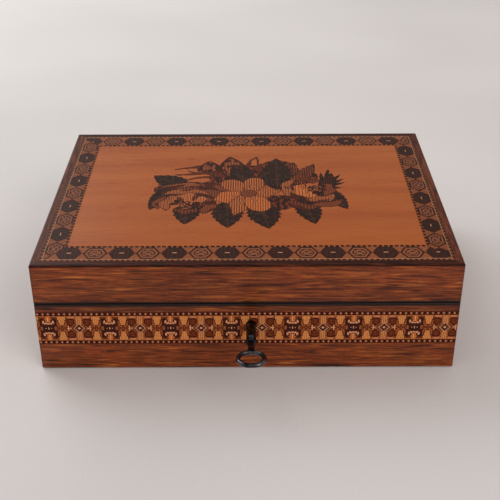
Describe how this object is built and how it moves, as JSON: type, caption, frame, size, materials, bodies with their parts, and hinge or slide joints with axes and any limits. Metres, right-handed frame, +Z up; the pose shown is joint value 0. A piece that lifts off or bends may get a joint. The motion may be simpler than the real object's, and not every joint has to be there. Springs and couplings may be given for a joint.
{
  "type": "jewellery box",
  "caption": "Veneered wooden jewellery box with mosaic banding and floral lid inlay, hinged lid, box lock with pipe key, and a lift-out tray.",
  "frame": {"origin": "middle of the underside, on the surface that the box stands on", "axes": "+X to the right seen from the front, +Y to the hinged back, +Z up"},
  "size_m": [0.24, 0.219, 0.0704],
  "materials": {
    "rosewood": "polished, dark streaked grain",
    "carcass_wood": "smooth, oiled",
    "deal": "planed",
    "mosaic_band": "polished tesserae of several woods",
    "mosaic_border": "polished tesserae of several woods",
    "satinwood": "polished, silky",
    "spray": "polished tesserae of several woods",
    "baize": "felted wool",
    "velvet": "cotton velvet",
    "silk": "padded silk satin",
    "ribbon": "silk ribbon",
    "brass": "satin, aged",
    "steel": "dark, worn bright at the edges",
    "spring_steel": "blued"
  },
  "bodies": {
    "case": {"base_front_board": "carcass_wood", "base_front_veneer": "rosewood", "front_mosaic_band": "mosaic_band", "base_right_board": "carcass_wood", "base_right_veneer": "rosewood", "right_mosaic_band": "mosaic_band", "base_back_board": "carcass_wood", "base_back_veneer": "rosewood", "back_mosaic_band": "mosaic_band", "base_left_board": "carcass_wood", "base_left_veneer": "rosewood", "left_mosaic_band": "mosaic_band", "base_bottom_board": "deal", "underside_baize": "baize", "tray_bearers": "carcass_wood", "floor_lining": "velvet", "lock_plate": "brass", "lock_case": "brass", "lock_drill_pin": "steel", "lock_guide_studs": "steel", "lock_spring": "spring_steel", "lock_screws": "brass", "left_hinge_base_leaf": "brass", "right_hinge_base_leaf": "brass", "left_hinge_pin": "brass", "right_hinge_pin": "brass", "hinge_base_screws": "brass"},
    "bolt": {"lock_bolt": "brass"},
    "key": {"key": "steel"},
    "lid": {"lid_front_board": "carcass_wood", "lid_front_veneer": "rosewood", "front_mosaic_border": "mosaic_border", "lid_right_board": "carcass_wood", "lid_right_veneer": "rosewood", "right_mosaic_border": "mosaic_border", "lid_back_board": "carcass_wood", "lid_back_veneer": "rosewood", "back_mosaic_border": "mosaic_border", "lid_left_board": "carcass_wood", "lid_left_veneer": "rosewood", "left_mosaic_border": "mosaic_border", "lid_top_board": "deal", "lid_silk_pad": "silk", "top_edging": "rosewood", "top_panel": "satinwood", "spray_inlay": "spray", "link_plate": "brass", "link_screws": "brass", "left_hinge_lid_leaf": "brass", "right_hinge_lid_leaf": "brass", "hinge_lid_screws": "brass"},
    "tray": {"tray_front_wall": "carcass_wood", "tray_right_wall": "carcass_wood", "tray_back_wall": "carcass_wood", "tray_left_wall": "carcass_wood", "tray_floor": "deal", "tray_dividers": "carcass_wood", "tray_velvet": "velvet", "tray_ribbons": "ribbon", "ring_cushion": "velvet"}
  },
  "joints": [
    {"name": "lid_hinge", "type": "hinge", "parent": "case", "child": "lid", "pos_m": [0, 0.0878, 0.04525], "axis": [-1, 0, 0], "range_deg": [0, 95]},
    {"name": "tray_lift", "type": "slide", "parent": "case", "child": "tray", "axis": [0, 0, 1], "range_m": [0, 0.017]},
    {"name": "key_turn", "type": "hinge", "parent": "case", "child": "key", "pos_m": [0.0022, -0.09, 0.0308], "axis": [0, 1, 0], "range_deg": [-90, 150]},
    {"name": "bolt_slide", "type": "slide", "parent": "case", "child": "bolt", "axis": [1, 0, 0], "range_m": [-0.0021, 0.0035]}
  ],
  "couplings": [
    {"joint": "bolt_slide", "follows": "key_turn", "m_per_rad": 0.0013365}
  ]
}
